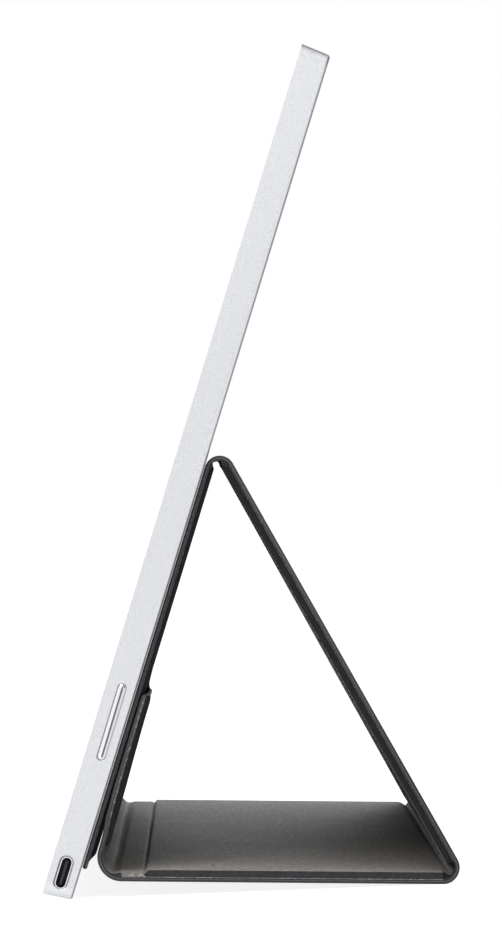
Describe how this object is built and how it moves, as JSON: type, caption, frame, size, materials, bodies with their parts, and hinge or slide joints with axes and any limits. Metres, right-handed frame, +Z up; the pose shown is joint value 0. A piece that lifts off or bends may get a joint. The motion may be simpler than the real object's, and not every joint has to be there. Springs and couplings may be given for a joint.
{
  "type": "portable monitor with folding cover",
  "caption": "Slim portable monitor with a silver shell, side port and rocker key, propped on a dark leather cover folded into a triangle behind it.",
  "frame": {"origin": "on the floor, in the middle of the footprint of the propped monitor", "axes": "+X across the monitor towards the side with the key, the screen faces -Y, +Z up"},
  "size_m": [0.36, 0.113, 0.2283],
  "materials": {
    "silver": "fine bead-blasted and clear anodised",
    "key_silver": "polished and clear anodised",
    "black_plastic": "moulded, fine matt grain",
    "black_tape": "flat film",
    "screen_glass": "anti-glare polariser, screen off",
    "white_film": "smooth film",
    "clear_guide": "clear moulded acrylic",
    "tray_metal": "pressed sheet",
    "port_steel": "drawn and plated",
    "led_strip": "flexible circuit with small lamps",
    "driver_film": "copper on amber film",
    "circuit_board": "solder-masked laminate",
    "ribbon": "flat flexible cable",
    "magnet": "plated",
    "liner": "smooth coated cloth",
    "cover_board": "pressed fibre board",
    "leather": "pebbled dark grey synthetic leather"
  },
  "bodies": {
    "monitor": {"back_shell": "silver", "front_bezel": "black_plastic", "bezel_tape": "black_tape", "lcd_cell": "screen_glass", "optical_sheets": "white_film", "light_guide": "clear_guide", "reflector_sheet": "white_film", "panel_frame": "white_film", "panel_tray": "tray_metal", "led_strip": "led_strip", "driver_films": "driver_film", "timing_board": "circuit_board", "main_board": "circuit_board", "shield_can": "tray_metal", "side_board": "circuit_board", "usb_shell_right": "port_steel", "usb_tongue_right": "black_plastic", "usb_shell_left": "port_steel", "usb_tongue_left": "black_plastic", "display_cable": "ribbon", "link_cable": "ribbon", "board_insulator": "black_tape", "key_bracket": "black_plastic", "key_switches": "black_plastic", "board_screws": "port_steel", "shell_magnets": "magnet", "mount_liner": "liner", "mount_board": "cover_board", "mount_magnets": "magnet", "mount_leather": "leather", "top_fold_strip": "leather"},
    "key": {"rocker_key": "key_silver"},
    "strut": {"strut_liner": "liner", "strut_board": "cover_board", "strut_leather": "leather", "rear_fold_strip": "leather"},
    "floor_panel": {"floor_liner": "liner", "floor_board": "cover_board", "floor_leather": "leather", "front_fold_strip": "leather"},
    "flap": {"flap_liner": "liner", "flap_board": "cover_board", "flap_plates": "magnet", "flap_leather": "leather"}
  },
  "joints": [
    {"name": "top_fold", "type": "hinge", "parent": "monitor", "child": "strut", "pos_m": [0, -0.00432, 0.11833], "axis": [1, 0, 0], "range_deg": [0, 133.4], "deforming": ["top_fold_strip"]},
    {"name": "rear_fold", "type": "hinge", "parent": "strut", "child": "floor_panel", "pos_m": [0, 0.05595, 0.00198], "axis": [1, 0, 0], "range_deg": [0, 120.1], "deforming": ["rear_fold_strip"]},
    {"name": "front_fold", "type": "hinge", "parent": "floor_panel", "child": "flap", "pos_m": [0, -0.04029, 0.00698], "axis": [1, 0, 0], "range_deg": [0, 106.5], "deforming": ["front_fold_strip"]},
    {"name": "key_rock", "type": "hinge", "parent": "monitor", "child": "key", "pos_m": [0.17596, -0.03579, 0.04743], "axis": [0, -0.9438, 0.3305], "range_deg": [-2, 2], "stiffness_Nm_per_rad": 0.4}
  ],
  "couplings": [
    {"joint": "rear_fold", "follows": "top_fold", "ratio": 0.9002},
    {"joint": "front_fold", "follows": "top_fold", "ratio": 0.7983}
  ]
}
